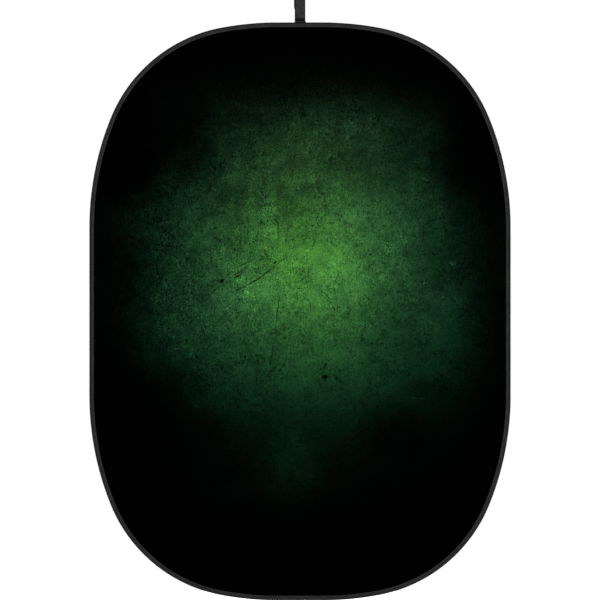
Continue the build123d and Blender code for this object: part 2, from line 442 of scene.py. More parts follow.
# The bolder scratches: both ends and half a width, in millimetres, and how dark
SCRATCHES = (
    (-248, -91, -198, -69, 3.3, 0.65), (-212, -77, -150, -36, 3.7, 0.8), (-162, -44, -118, -10, 3.3, 0.65),
    (-126, -16, -60, 36, 2.4, 0.45), (-256, -48, -227, -30, 4.2, 0.8), (-266, -44, -208, -8, 2.7, 0.65),
    (-256, -14, -172, 28, 3.0, 0.65), (-284, -38, -252, -19, 2.8, 0.6), (-303, -61, -292, -51, 9.5, 0.83),
    (-346, -58, -302, -51, 3.0, 0.55), (-111, 8, -102, 14, 5.2, 0.85), (-89, -80, -106, -240, 2.7, 0.6),
    (-168, -320, -176, -450, 2.6, 0.6), (-112, -250, -124, -380, 2.6, 0.55),
    (-538, 24, -506, -84, 3.8, 0.65), (64, -400, 78, -396, 10.0, 0.83),
)

# Chips and rubbed lines where a paler coat shows, in the same way
CHIPS = (
    (516, 12, 530, 2, 7.0, 1.0), (532, 22, 536, 4, 3.2, 0.7), (416, 312, 440, 303, 2.8, 0.9),
    (360, -470, 440, -478, 2.3, 0.6), (-402, -492, -380, -506, 3.4, 0.9), (-300, 196, -292, 204, 3.6, 0.7),
    (420, -66, 436, -60, 3.4, 0.6), (-470, -300, -452, -296, 3.0, 0.6),
)

# Soft blots: middle and half sizes across and up, in centimetres, and how much darker (below 0) or lighter
BLOTS = (
    (-51, 47, 21, 15, -1.8), (-64, 34, 15, 13, -2.2), (62, 42, 17, 22, -2.2), (18, 54, 26, 13, 0.6),
    (36, 12, 15, 16, 0.35), (56, -27, 17, 24, 0.55), (-19, -8, 16, 10, 0.42), (16, -3, 12, 12, 0.35),
    (-43, -20, 17, 17, 0.3), (-66, 16, 12, 8, 0.6), (-62, -47, 25, 17, -1.7), (-42, -62, 15, 12, -0.9),
    (32, -60, 15, 12, -1.1), (-5, -76, 14, 17, 1.3), (-27, -83, 12, 6, 0.8), (-2, 17, 6, 11, -0.3),
    (20, 17, 10, 9, 0.3), (-13, 11, 9, 6, 0.2), (-62, -2, 8, 12, -0.5), (-28, 24, 14, 10, -0.4),
    (44, -44, 8, 6, -0.5), (-39, 35, 9, 7, -0.7), (50, 46, 8, 7, 0.7), (-57, -35, 8, 7, 0.7),
    (-7, 19, 3, 13, -0.4), (3, 28, 6, 3, -0.45), (16, 35, 10, 4, -0.2), (-13, 21, 5, 5, 0.22),
    (26, 14, 5, 8, -0.18), (4, -11, 9, 4, 0.16),
)


def finer_scratches(count, seed):
    """Short scratches strewn over the glow, most of them nearly upright."""
    draw = np.random.default_rng(seed)
    scratches = []
    for _ in range(count):
        x, z = draw.normal(-40, 200), draw.normal(-20, 240)
        lean = draw.normal(0, 0.12) if draw.random() < 0.7 else draw.normal(0.9, 0.25)
        half_length = draw.uniform(18, 52)
        over, up = half_length * sin(lean), half_length * cos(lean)
        dark = draw.uniform(0.35, 0.62)
        scratches.append((x - over, z - up, x + over, z + up, draw.uniform(2.1, 3.1), dark))
    return scratches


def spot(m, vector, middle, tilt, half_length, half_width):
    """1 at a place, falling evenly to 0 at the edge of an ellipse round it."""
    x, z = middle
    place = m.moved(vector, (x, 0, z), (0, -tilt, 0), (half_length, 1, half_width), kind="TEXTURE")
    ball = m.new("TexGradient")
    ball.gradient_type = "SPHERICAL"
    return m.fill(ball, {"Vector": place}, "Fac")


def wandering(m, vector, scale, amount, detail=2.0):
    """A flat place moved about a little, unevenly, by up to half of amount each way."""
    x, _, z = m.parts(m.noise(vector, scale, detail, 0.6, output="Color"))
    shift = m.joined((x - 0.5) * amount, 0.0, (z - 0.5) * amount)
    return m.vectors("ADD", vector, shift)


def strokes(m, vector, table):
    """Where a list of strokes is, each a tapered line as strong as its last number says."""
    marks = 0.0
    for *ends, half_width, strength in table:
        x0, z0, x1, z1 = (end * MM for end in ends)
        half_length = hypot(x1 - x0, z1 - z0) / 2 + half_width * MM
        middle, tilt = ((x0 + x1) / 2, (z0 + z1) / 2), atan2(z1 - z0, x1 - x0)
        near = spot(m, vector, middle, tilt, half_length, half_width * MM)
        marks = m.math("MAXIMUM", marks, m.spread(near, 0.0, 0.55, 0.0, strength))
    return marks


def blots(m, vector, level):
    """level with the soft blots on it."""
    for x, z, half_x, half_z, amount in BLOTS:
        near = spot(m, vector, (x * CM, z * CM), 0, 1.3 * half_x * CM, 1.3 * half_z * CM)
        level = level + m.spread(near, 0.0, 0.846, 0.0, amount, smooth=True)
    return level


def glow_fade(m, across, up, drift):
    """How far the glow has faded: more with the way from its middle, unevenly, and fully at the sides."""
    wide, high = across * (1 / GLOW_WIDTH), up * (1 / GLOW_HEIGHT)
    far = m.math("SQRT", wide * wide + high * high)
    fade = m.math("POWER", m.math("MAXIMUM", far + drift * 0.35, 0.0), GLOW_POWER)
    for place, near, gone, amount in (
        (abs(across), 0.50, 0.74, 1.1),
        (up, 0.46, 0.80, 1.9),
        (up, -0.40, -0.80, 0.7),
    ):
        fade = fade + m.spread(place, near, gone, smooth=True) * amount
    return fade


def wall_texture(m, flat):
    """Clumps, grain, and lines brushed upright and aslant, about 0."""
    aslant = m.moved(flat, (5, 0, 0), turn=(0, radians(-28), 0), scale=(1, 1, 0.3))
    layers = (
        (1.8, m.moved(flat, (2.2, 0, 6.1)), 62.0, 3, 0.65),
        (1.8, m.moved(flat, (1.2, 0, 8.1)), 170.0, 2, 0.7),
        (0.8, m.moved(flat, scale=(1, 1, 0.18)), 170.0, 2, 0.7),
        (1.0, aslant, 200.0, 2, 0.7),
    )
    return reduce(add, [m.swing(*noise) * amount for amount, *noise in layers])


def grit(m, flat, level, contrast):
    """level with dark pits, thicker in some places than in others, and pale flecks; and the flecks."""
    thick = m.spread(m.noise(m.moved(flat, (4, 0, 4)), 11.0, 3), 0.35, 0.65)
    pits = m.spread(m.noise(flat, 210.0, 2, 0.7), 0.38, 0.52, 1.0, 0.0)
    pits = pits * (0.28 + thick * 0.36) * contrast
    flecks = m.spread(m.noise(m.moved(flat, (9, 0, 3)), 230.0), 0.55, 0.68) * 0.7
    return level * (1.0 - pits) * (1.0 + flecks * contrast), flecks


def wall_marks(m, flat, roaming, coarse, contrast):
    """Cracks, hair lines, dashes and specks, each with how dark it is."""
    cells = m.new("TexVoronoi")
    cells.feature = "DISTANCE_TO_EDGE"
    edge = m.fill(cells, {"Vector": roaming, "Scale": 7.5}, "Distance")
    cracks = m.spread(edge, 0.0, 0.03, 1.0, 0.0) * m.spread(m.noise(flat, 5.5), 0.45, 0.62)
    hair = m.noise(m.moved(flat, (6, 0, 2)), 15.0, 3, 0.65, 1.6)
    hair = m.spread(abs(hair - 0.5), 0.0, 0.032, 1.0, 0.0)
    hair = hair * m.spread(m.noise(m.moved(flat, (8, 0, 8)), 9.0), 0.42, 0.6)
    specks = m.spread(m.noise(m.moved(flat, (2, 0, 9)), 110.0), 0.62, 0.68)
    streaks = m.moved(flat, (3, 0, 5), scale=(1, 1, 0.38))
    dashes = m.spread(m.noise(streaks, 165.0, 1), 0.60, 0.67)
    return (cracks, 0.4), (hair, 0.68), (dashes * coarse * contrast, 0.52), (specks, 0.8)


def print_hue(m, across, up, drift, patch, pale):
    """Yellow green in the middle and above it, blue green to the sides and below."""
    red = m.spread(up, -0.64, -0.02, 0.153, 0.264, smooth=True) + m.spread(up, 0.1, 0.45, 0.0, 0.04)
    red = red - across * across * 0.24 + patch * 0.035
    reach = m.vectors("LENGTH", m.joined(across * 1.06, 0.0, up * 0.9), output="Value")
    blue = m.spread(reach, 0.0, 0.62, 0.154, 0.406, smooth=True) + patch * -0.13
    blue = blue + drift * 0.1 + pale * 0.14
    red = red + pale * 0.1
    return m.joined(m.math("MAXIMUM", red, 0.1), 1.0, m.math("MAXIMUM", blue, 0.1))


def printed_cloth_material():
    """An abstract green glow on black, with the blotches, grit and scratches of an old painted wall."""
    m = Shader("printed_cloth", specular=0.008, roughness=0.9)
    x, _, z = m.parts(m.place())
    across, up = x - GLOW_X, z - GLOW_Z
    flat = m.joined(across, 0.0, up)
    drift = m.swing(flat, 3.2, 3)
    fade = glow_fade(m, across, up, drift)

    # the wall's texture shows more where the glow is weak, and coarsely in patches
    mottle = m.swing(m.moved(flat, (3.1, 0, 1.7)), 4.6) * 0.5
    patch = m.swing(m.moved(flat, (7.7, 0, 2.3)), 19.0, 3, 0.6)
    coarse = m.spread(m.noise(m.moved(flat, (5, 0, 1)), 15.0, 3, 0.6), 0.40, 0.62, 0.50, 1.34)
    contrast = m.spread(fade, 0.2, 2.4, 0.84, 1.2) * m.spread(up, -0.52, -0.15, 0.5, 1.0)
    contrast = contrast * m.spread(across, -0.3, 0.45, 1.12, 0.78)
    texture = wall_texture(m, flat) * coarse + patch * 1.9
    mottle = mottle + texture * contrast
    roaming = wandering(m, flat, 8.0, 0.17, detail=5)
    level = m.math("EXPONENT", blots(m, roaming, mottle) - fade)
    level, flecks = grit(m, flat, level, contrast)

    # chips lighten it, and the other marks darken it
    shaky = wandering(m, flat, 30.0, 0.008)
    broken = m.spread(m.noise(m.moved(flat, (1, 0, 1)), 70.0), 0.35, 0.55, 0.8, 1.2)
    scratches = strokes(m, shaky, (*SCRATCHES, *finer_scratches(26, 71))) * broken
    chips = strokes(m, shaky, CHIPS) * m.spread(m.noise(flat, 160.0), 0.3, 0.52)
    level = level * (1.0 + chips * 2.4)
    for mark, depth in (*wall_marks(m, flat, roaming, coarse, contrast), (scratches, 1.0)):
        level = level * (1.0 - mark * depth)

    hue = print_hue(m, across, up, drift, patch, m.math("MAXIMUM", flecks, chips))
    m.set("Base Color", m.scaled(hue, level * GLOW_GREEN))
    m.bump(m.wave(x, PRINT_THREADS) * m.wave(z, PRINT_THREADS), 0.06 * MM, 0.5)
    return m.material


def lining_material():
    """A thin black woven polyester with a soft sheen, a little dusty."""
    m = Shader("lining_cloth", specular=0.20)
    x, _, z = m.parts(m.place())
    flat = m.joined(x, 0.0, z)
    cloudy = m.noise(flat, 5.0, 3)
    slubs_across = m.noise(m.moved(flat, scale=(0.05, 1, 1)), 520.0)
    slubs_up = m.noise(m.moved(flat, (3, 0, 3), scale=(1, 1, 0.05)), 520.0)
    slubs = (slubs_across + slubs_up) * 0.5
    dusty = m.noise(flat, 160.0)
    amount = cloudy * 0.35 + (dusty * 0.25 + slubs * 0.4)
    m.set("Base Color", m.blend(m.spread(amount, 0.38, 0.62), grey(0.0032), grey(0.0075, -0.05)))
    m.set("Roughness", m.spread(cloudy * 0.5 + slubs * 0.5, 0.35, 0.65, 0.38, 0.52))
    m.bump(m.noise(m.moved(flat, turn=(0, radians(35), 0), scale=(0.35, 1, 1)), 6.0, 2, 0.4), 12.0 * MM, 0.9)
    weave = m.wave(x, LINING_THREADS) * m.wave(z, LINING_THREADS)
    m.bump(weave + (slubs + dusty) * 0.8, 0.08 * MM, 0.7)
    return m.material


def tape_material():
    """A folded woven tape: cords along it and fine ribs across, with painted shade in the hollows between
    them, and painted shade that darkens it where it turns over the rim.
    """
    m = Shader("binding_tape", specular=0.12)
    along, across, _ = m.parts(m.weave_place())
    ribs = m.wave(along, 1.1 * MM)
    cords = m.wave(across, 0.8 * MM)
    fuzz = m.noise(m.place(), 900.0)
    cloudy = m.noise(m.place(), 26.0, 3)
    from_rim = abs(across - TAPE_WIDTH / 2)
    # painted shade: the rim and its slopes, out to about 9 mm either side of the rim, are darkened nearly to
    # black
    painted_rim_shade = m.spread(from_rim, 9.0 * MM, 11.6 * MM, 1.0, 0.0, smooth=True)
    scuffed = m.spread(from_rim, 2 * MM, 6 * MM, 1.0, 0.0)
    scuffed = scuffed * m.spread(m.noise(m.place(), 60.0, 4), 0.5, 0.7)
    base = m.blend(m.spread(cloudy, 0.35, 0.65), grey(0.0165), grey(0.0250))
    base = m.blend(painted_rim_shade * 0.85, base, grey(0.004))
    base = m.blend(scuffed * 0.5, base, grey(0.03, 0.02))
    # painted shade: the colour darkens in the hollows between the cords and ribs, and is brightest where both
    # stand up
    m.set("Base Color", m.scaled(base, 0.72 + ribs * cords * 0.6))
    m.set("Roughness", m.spread(fuzz, 0.3, 0.7, 0.48, 0.66))
    m.bump(cords + ribs * 0.45 + fuzz * 0.4, 0.17 * MM, 0.9)
    return m.material


def thread_material(name, darker, lighter, specular):
    """A two-ply twisted polyester thread with a soft shine, and painted shade in the grooves of its twist."""
    m = Shader(name, specular)
    along, around, _ = m.parts(m.weave_place())
    twist = m.wave(along + around * 0.55, 0.42 * MM)
    uneven = m.noise(m.place(), 240.0)
    # painted shade: the colour darkens in the grooves of the twist, and is also uneven at random
    m.set("Base Color", m.blend(twist * uneven, grey(darker), grey(lighter)))
    m.set("Roughness", m.spread(uneven, 0.3, 0.7, 0.45, 0.65))
    m.bump(twist, 0.05 * MM, 0.9)
    return m.material


SEAM_THREAD = thread_material("seam_thread", 0.010, 0.024, 0.20)
TACK_THREAD = thread_material("tack_thread", 0.0006, 0.0018, 0.03)


def webbing_material(necks):
    """Woven polypropylene webbing: chevrons of yarns, with painted shade between them, and darker along each
    edge. necks are the places along it at the bartacks, where painted shade darkens it."""
    m = Shader("webbing", specular=0.12)
    along, across, _ = m.parts(m.weave_place())
    yarns = m.wave(along + m.math("PINGPONG", across, CHEVRON), YARN_PITCH)
    fibres = m.noise(m.joined(along * 0.2, across, 0.0), 4200.0)
    cloudy = m.noise(m.place(), 70.0, 3)
    # darker in a band along each edge
    edge = m.spread(abs(across), 13.5 * MM, 16.5 * MM, smooth=True)
    base = m.blend(m.spread(cloudy, 0.35, 0.65), grey(0.0150), grey(0.0270))
    base = m.blend(edge * 0.85, base, grey(0.005))
    for neck in necks:
        # painted shade: the webbing darkens to under a third of its colour at each neck's bartacks
        painted_neck_shade = m.spread(abs(along - neck), 4.4 * MM, 5.8 * MM, 0.3, 1.0, smooth=True)
        base = m.scaled(base, painted_neck_shade)
    # painted shade: darker between the yarns, where the relief is low; the fibres lighten the yarns' tops
    m.set("Base Color", m.scaled(base, 0.7 + yarns * (0.35 + fibres * 0.4)))
    m.set("Roughness", m.spread(fibres, 0.3, 0.7, 0.5, 0.7))
    m.bump(yarns + fibres * 0.6, 0.12 * MM, 0.8)
    return m.material


def label_material():
    """A blank white satin label, its white a little uneven."""
    m = Shader("label", specular=0.4)
    along, across, _ = m.parts(m.weave_place())
    satin = m.wave(along, 0.5 * MM) * m.wave(across, 0.32 * MM)
    cloudy = m.noise(m.place(), 120.0, 3)
    m.set("Base Color", m.blend(m.spread(cloudy, 0.3, 0.7), grey(0.62, 0.03), grey(0.72, 0.02)))
    m.set("Roughness", m.spread(cloudy, 0.3, 0.7, 0.38, 0.5))
    m.bump(satin, 0.05 * MM, 0.7)
    return m.material


def steel_material(name, roughness, drawn_along):
    """Spring steel or a plated stamping: fine drawn lines and a few darker stains."""
    m = Shader(name, metallic=1.0)
    lines = m.noise(m.moved(m.place(), scale=drawn_along), 900.0, 3)
    stains = m.noise(m.place(), 90.0, 4)
    m.set("Base Color", m.blend(m.spread(stains, 0.4, 0.7), grey(0.42, 0.01), grey(0.30, 0.06)))
    m.set("Roughness", m.spread(lines, 0.3, 0.7, roughness - 0.08, roughness + 0.12))
    m.bump(lines, 0.02 * MM, 0.6)
    return m.material


def shrink_wrap_material():
    """Black shrunk plastic, puckered here and there over the sleeve, with painted shade in the hollows of the
    puckers.
    """
    m = Shader("shrink_wrap")
    puckers = m.noise(m.place(), 260.0, 3)
    # painted shade: darker where the puckers' relief is low
    m.set("Base Color", m.blend(m.spread(puckers, 0.35, 0.65), grey(0.010), grey(0.016)))
    m.set("Roughness", m.spread(puckers, 0.3, 0.7, 0.28, 0.48))
    m.bump(puckers, 0.1 * MM, 0.6)
    return m.material


def floor_material():
    """Pale and plain, and lost in the white behind it before it ends, because its outer part glows white with
    painted light.
    """
    m = Shader("studio_floor", specular=0.2, roughness=0.6)
    faint = m.noise(m.place(), 6.0, 3)
    m.set("Base Color", m.blend(faint, grey(0.80), grey(0.84)))
    x, y, _ = m.parts(m.place())
    away = m.math("SQRT", x * x + y * y)
    # painted light: the floor glows white, more and more from 2.2 m out towards its edge
    m.set("Emission Color", grey(1.0))
    m.set("Emission Strength", m.spread(away, 2.2, FLOOR_RADIUS - 0.4, 0.0, 1.0, smooth=True))
    return m.material


# --- how the sewn edge puckers

TOP_MIDDLE = RIM_LENGTH / 2


def calm(along):
    """0 under the sewn tails at the middle of the top, where nothing can pucker, and 1 further away."""
    away = np.abs(np.mod(np.asarray(along, float), RIM_LENGTH) - TOP_MIDDLE)
    return smooth_step(22 * MM, 50 * MM, away)


def pucker(along, from_rim):
    """How far the sewn edge, tape and cloths together, stands to the back of the middle plane."""
    along, from_rim = np.broadcast_arrays(np.asarray(along, float), np.asarray(from_rim, float))
    size = (0.30 + 0.45 * tightness(along)) * MM * calm(along)
    rise = smooth_step(6 * MM, SEAM_FROM_RIM, from_rim)
    beyond = np.maximum(from_rim - BINDING_WIDTH, 0)
    short = ripple(along, 22 * MM, 48 * MM, 40, 11) * np.exp(-beyond / (45 * MM))
    long = ripple(along, 70 * MM, 190 * MM, 14, 12) * np.exp(-beyond / (130 * MM))
    long = long * smooth_step(12 * MM, 60 * MM, from_rim) * 2.2
    return size * rise * (short + long)


def undulation(x, z, from_rim):
    """The slow waves of the taut cloths, away from the binding."""
    draw = np.random.default_rng(21)
    total = np.zeros(np.shape(x))
    for _ in range(9):
        across, up = draw.normal(0, 1, 2) * 2 * pi / draw.uniform(0.45, 1.3)
        total = total + np.sin(across * x + up * z + draw.uniform(0, 2 * pi))
    return total / 3 * 2.8 * MM * smooth_step(20 * MM, 260 * MM, from_rim)


def lap_lift(along):
    """How far the tape's later end stands off, over its earlier end. along runs past a whole turn there."""
    start = RIM_LENGTH - LAP_LENGTH / 2
    return (TAPE + 0.04 * MM) * smooth_step(start - LAP_RAMP, start - 0.4 * MM, along)


# --- cloths

EDGE_ROWS = MM * np.array([
    8, 10.5, 12.5, 14.5, 16.5, 19, 24, 27.5, 31.5, 36, 41.5, 48, 56, 66, 78, 92, 108, 127, 149, 174,
    202, 232, 264, 297, 330,
])  # in from the rim
INNER_SCALES = (0.93, 0.86, 0.78, 0.70, 0.61, 0.52, 0.43, 0.345, 0.265, 0.19, 0.13, 0.08, 0.04)
HALVED_AT = (0, 4, 8, 11)
STATIONS = 1200


def ring_faces(first, after, count, step):
    """The faces between a ring of count points and the ring after it, which has every step-th of them."""
    faces = []
    for j in range(count // step):
        here, beyond = first + step * j, first + step * (j + 1) % count
        inner, next_inner = after + j, after + (j + 1) % (count // step)
        if step == 1:
            faces.append([here, beyond, next_inner, inner])
        else:
            faces += [[here, here + 1, inner], [here + 1, next_inner, inner], [here + 1, beyond, next_inner]]
    return faces


def cloth_grid():
    """Points (x, z), places along the rim and in from it, and faces, for a cloth: rows parallel to the
    rim, then rows that shrink to the middle, with fewer points in some than in the one before."""
    along = np.arange(STATIONS) * RIM_LENGTH / STATIONS
    point, way_in = rim(along)
    rows = [(point + way_in * from_rim, along, np.full(STATIONS, from_rim)) for from_rim in EDGE_ROWS]
    faces = grid_faces(len(EDGE_ROWS), STATIONS).tolist()
    centre, inner = np.array([0, MIDDLE_Z]), rows[-1][0]
    first, count = (len(EDGE_ROWS) - 1) * STATIONS, STATIONS
    for index, scale in enumerate(INNER_SCALES):
        step = 2 if index in HALVED_AT else 1
        inner, along = inner[::step], along[::step]
        depth = np.full(len(inner), EDGE_ROWS[-1] + (1 - scale) * 0.4)
        rows.append((centre + (inner - centre) * scale, along, depth))
        faces += ring_faces(first, first + count, count, step)
        first, count = first + count, len(inner)
    rows.append((centre[None], np.zeros(1), np.full(1, 0.7)))
    faces += [[first + j, first + (j + 1) % count, first + count] for j in range(count)]
    points, alongs, depths = (np.concatenate(column) for column in zip(*rows))
    return points, alongs, depths, faces


CLOTH_POINTS, CLOTH_ALONG, CLOTH_DEPTH, CLOTH_FACES = cloth_grid()
CLOTH_WAVE = pucker(CLOTH_ALONG, CLOTH_DEPTH) + undulation(*CLOTH_POINTS.T, CLOTH_DEPTH)


def make_cloth(name, node, material, side, fullness):
    """A closed sheet in front of the middle plane, where side is -1, or behind it."""
    x, z = CLOTH_POINTS.T
    sheet_y = [MIDDLE_Y + CLOTH_WAVE + side * away + fullness for away in (CLOTH_FAR, CLOTH_NEAR)]
    points = np.concatenate([np.stack([x, y, z], -1) for y in sheet_y])
    count = len(x)
    faces = CLOTH_FACES + [[v + count for v in f[::-1]] for f in CLOTH_FACES]
    faces += [[j, j + count, (j + 1) % STATIONS + count, (j + 1) % STATIONS] for j in range(STATIONS)]
    cloth = make_piece(name, points, faces, material)
    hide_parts(node)
    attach(cloth, "panel")


def make_cloths():
    """Both cloths. The lining is a little fuller, so it stands off the other one."""
    x, z = CLOTH_POINTS.T
    draw = np.random.default_rng(33)
    slack = np.zeros(len(x))
    for _ in range(5):
        slack += np.sin(draw.uniform(3, 9) * x + draw.uniform(3, 9) * z + draw.uniform(0, 2 * pi))
    fullness = smooth_step(*LOOSE_FROM_TO, CLOTH_DEPTH) * (0.8 + 0.14 * slack) * MM
    make_cloth("printed_cloth", "front_cloth", printed_cloth_material(), -1, 0)
    make_cloth("lining_cloth", "back_cloth", lining_material(), 1, fullness)


# --- binding

def half_section(fine):
    """The corners of the tape's outer line for rounded_line, from its edge to the rim's rounding."""
    depth, width = FLANGE_DEPTH, BINDING_WIDTH
    corners = [((width, depth), 0, 0, 0)]
    if fine:
        corners += [((place * MM, depth), 0, 1, 0) for place in (13.8, 13.0, 12.2)]
    corners.append(((SLOPE_END, depth), 1.5 * MM, 1, 2 if fine else 1))
    corners.append(((SLOPE_START, RIM_DEPTH), 3.2 * MM, 2 if fine else 1, 3 if fine else 2))
    corners.append(((0, RIM_DEPTH), 2.6 * MM, 1, 4 if fine else 2))
    return corners


def tape_section(fine, inset):
    """Places (in from the rim, depth) on the tape's outer line, from its front edge round to its back
    edge, moved in by inset, and the outward way at each."""
    half = half_section(fine)
    front = [((n, -d), radius, run, arc) for (n, d), radius, run, arc in half]
    runs = [3 if fine else 1] + [run for _, _, run, _ in half[:0:-1]]
    back = [(point, radius, run, arc) for (point, radius, _, arc), run in zip(half[::-1], runs)]
    line = rounded_line(front + back)
    way = unit(np.gradient(line, axis=0))
    outward = np.stack([way[:, 1], -way[:, 0]], -1)
    return line - outward * inset, outward


OUTER_LINE, OUTER_WAY = tape_section(True, 0)
TAPE_WIDTH = float(distances(OUTER_LINE)[-1])


def bulge(along, from_rim, side):
    """How far the gathered tape stands out between its rim and its seam."""
    place = smooth_step(4 * MM, 8 * MM, from_rim) * (1 - smooth_step(9 * MM, 12.2 * MM, from_rim))
    size = (0.10 + 0.42 * tightness(along) ** 1.5) * MM * calm(along)
    return size * place * ripple(along, 11 * MM, 24 * MM, 60, 31 if side < 0 else 32)


def tape_stations():
    """Places along the tape, from end to end, closer together in the corners and closest at the lap."""
    samples = np.arange(-LAP_LENGTH / 2, RIM_LENGTH + LAP_LENGTH / 2, 2 * MM)
    straight, gathered, lapped = 1 / (3.7 * MM), 1 / (2.25 * MM), 1 / (1.2 * MM)
    density = straight + (gathered - straight) * smooth_step(0.6, 1, tightness(samples))
    from_lap = np.minimum(np.mod(samples, RIM_LENGTH), np.mod(-samples, RIM_LENGTH))
    density[from_lap < 26 * MM] = lapped
    total = np.concatenate([[0], np.cumsum((density[1:] + density[:-1]) / 2 * np.diff(samples))])
    return np.interp(np.linspace(0, total[-1], ceil(total[-1])), total, samples)


def tape_points(along, line, outward, grooved):
    """The tape's points for each place along it and each point of its section."""
    along = along[:, None]
    n, depth = line[None, :, 0], line[None, :, 1]
    side = np.sign(depth)
    stand = np.where(side < 0, bulge(along, n, -1), bulge(along, n, 1)) + lap_lift(along)
    curl = (0.10 + 0.10 * ripple(along, 30 * MM, 90 * MM, 12, 41)) * MM
    curl = smooth_step(14.2 * MM, BINDING_WIDTH, n) * curl
    stand = stand + curl * (np.abs(depth) < 2 * FLANGE_DEPTH)
    if grooved:
        stand = stand - 0.26 * MM * np.exp(-(((n - SEAM_FROM_RIM) / (0.75 * MM)) ** 2))
    roll = 0.16 * MM * ripple(along, 60 * MM, 240 * MM, 14, 42) * (n < SLOPE_START)
    stand = stand + roll * calm(along) * 0.6
    from_rim = n + outward[None, :, 0] * stand
    away = depth + outward[None, :, 1] * stand + pucker(along, n)
    return on_panel(along + 0 * from_rim, from_rim, away)


def make_binding():
    """The tape: one strip folded over the rim and lapped at its ends."""
    along = tape_stations()
    inner_line, inner_way = tape_section(False, TAPE - 0.05 * MM)
    outer = tape_points(along, OUTER_LINE, OUTER_WAY, True)
    inner = tape_points(along, inner_line, inner_way, False)[:, ::-1]
    points = np.concatenate([outer, inner], 1)
    rows, columns = points.shape[:2]
    across = np.concatenate([distances(OUTER_LINE), np.linspace(TAPE_WIDTH, 0, inner.shape[1])])
    weave = np.stack(np.broadcast_arrays(along[:, None], across[None]), -1)
    faces = grid_faces(rows, columns).tolist()
    for start in (0, (rows - 1) * columns):
        faces += end_cap(start, outer.shape[1], inner.shape[1])
    tape = make_piece("binding", points, faces, tape_material(), weave)
    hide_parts("binding_tape")
    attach(tape, "panel")
    RIM_LENGTH + LAP_LENGTH


def end_cap(start, outers, inners):
    """Faces that close the tape's cut end, between its outer points and its inner ones."""
    faces, i, j = [], 0, 0
    last = start + outers + inners - 1
    while i < outers - 1 or j < inners - 1:
        if j == inners - 1 or (i < outers - 1 and (i + 1) * (inners - 1) <= (j + 1) * (outers - 1)):
            faces.append([start + i, start + i + 1, last - j])
            i += 1
        else:
            faces.append([start + i, last - j - 1, last - j])
            j += 1
    return faces


def seam_points(along, from_rim, side):
    """Points over the binding's seam, just above the tape's pulled-down surface."""
    lapped = np.where(np.mod(along + LAP_LENGTH / 2, RIM_LENGTH) < LAP_LENGTH, RIM_LENGTH, 0)
    lift = lap_lift(np.mod(along + LAP_LENGTH / 2, RIM_LENGTH) - LAP_LENGTH / 2 + lapped)
    ramp = lap_lift(np.mod(along, RIM_LENGTH))
    under_tails = (side > 0) * 0.34 * MM * (np.abs(along - TOP_MIDDLE) < WEBBING_WIDTH / 2 + 1 * MM)
    depth = FLANGE_DEPTH - 0.24 * MM + np.maximum(lift, ramp) + 0.05 * MM - under_tails
    return on_panel(along, from_rim, side * depth + pucker(along, from_rim))


def make_seam(name, node, side):
    """One lockstitch after another, all round."""
    count = round(RIM_LENGTH / STITCH_PITCH)
    pitch = RIM_LENGTH / count
    draw = np.random.default_rng(51 + side)
    starts = np.arange(count) * pitch + pitch * draw.normal(0, 0.02, count)
    slant = 0.13 * MM + draw.normal(0, 0.035, (2, count)) * MM
    first = seam_points(starts + 0.10 * pitch, SEAM_FROM_RIM + slant[0], side)
    last = seam_points(starts + 0.90 * pitch, SEAM_FROM_RIM - slant[1], side)
    make_stitches(name, node, "panel", SEAM_THREAD, first, last, side, SEAM_LIFT, SEAM_RADIUS)


# --- hanging loop

def webbing_path():
    """The middle line (y, z) of the loop's one strip, up from its inner tail, over the crown and down to
    its outer tail, and the places along it."""
    lean = asin((CROWN_LINE_RADIUS - WEBBING / 2) / -NECK_Z)
    slope = atan2(RIM_DEPTH - FLANGE_DEPTH, SLOPE_END - SLOPE_START)
    shift = tan(slope / 2)

    def corner(from_rim, depth, offset):
        lower = offset * shift if from_rim < BINDING_WIDTH else 0
        return (MIDDLE_Y + depth + offset, PANEL_TOP - from_rim - lower)

    inner, outer = 0.85 * MM, 2.42 * MM
    foot = (WEBBING / 2 * cos(lean) - CROWN_LINE_RADIUS) / sin(lean)
    tangent = (CROWN_LINE_RADIUS * cos(lean), -CROWN_LINE_RADIUS * sin(lean))
    up = [
        (corner(BINDING_WIDTH, FLANGE_DEPTH, inner), 0, 0, 0),
        (corner(SLOPE_END, FLANGE_DEPTH, inner), 1.8 * MM, 6, 6),
        (corner(SLOPE_START, RIM_DEPTH, inner), 3.4 * MM, 6, 8),
        ((-WEBBING / 2, foot), 16 * MM, 12, 6),
        ((-tangent[0], tangent[1]), 0, 20, 0),
    ]
    down = [
        ((tangent[0], tangent[1]), 0, 0, 0),
        ((WEBBING / 2, foot), 16 * MM, 20, 6),
        (corner(SLOPE_START, RIM_DEPTH, outer), 5 * MM, 12, 8),
        (corner(SLOPE_END, FLANGE_DEPTH, outer), 1.4 * MM, 6, 6),
        (corner(BINDING_WIDTH, FLANGE_DEPTH, outer), 0, 6, 0),
    ]
    angles = np.linspace(pi + lean, -lean, 60)[1:-1]
    crown = CROWN_LINE_RADIUS * np.stack([np.cos(angles), np.sin(angles)], -1)
    line = np.concatenate([rounded_line(up), crown, rounded_line(down)])
    far = distances(line)
    even = np.linspace(0, far[-1], round(far[-1] / (0.62 * MM)) + 1)
    return np.stack([np.interp(even, far, line[:, k]) for k in (0, 1)], -1), even


def weave_height(across, along, turned):
    """The chevrons of the webbing's yarns, as height from 0 to 1."""
    zigzag = np.abs(np.mod(across + CHEVRON, 2 * CHEVRON) - CHEVRON)
    yarn = 0.5 + 0.5 * np.cos(2 * pi * (along + turned * zigzag) / (2 * YARN_PITCH))
    columns = 0.5 + 0.5 * np.cos(2 * pi * across / (1.583 * MM))
    return 0.72 * yarn + 0.28 * columns


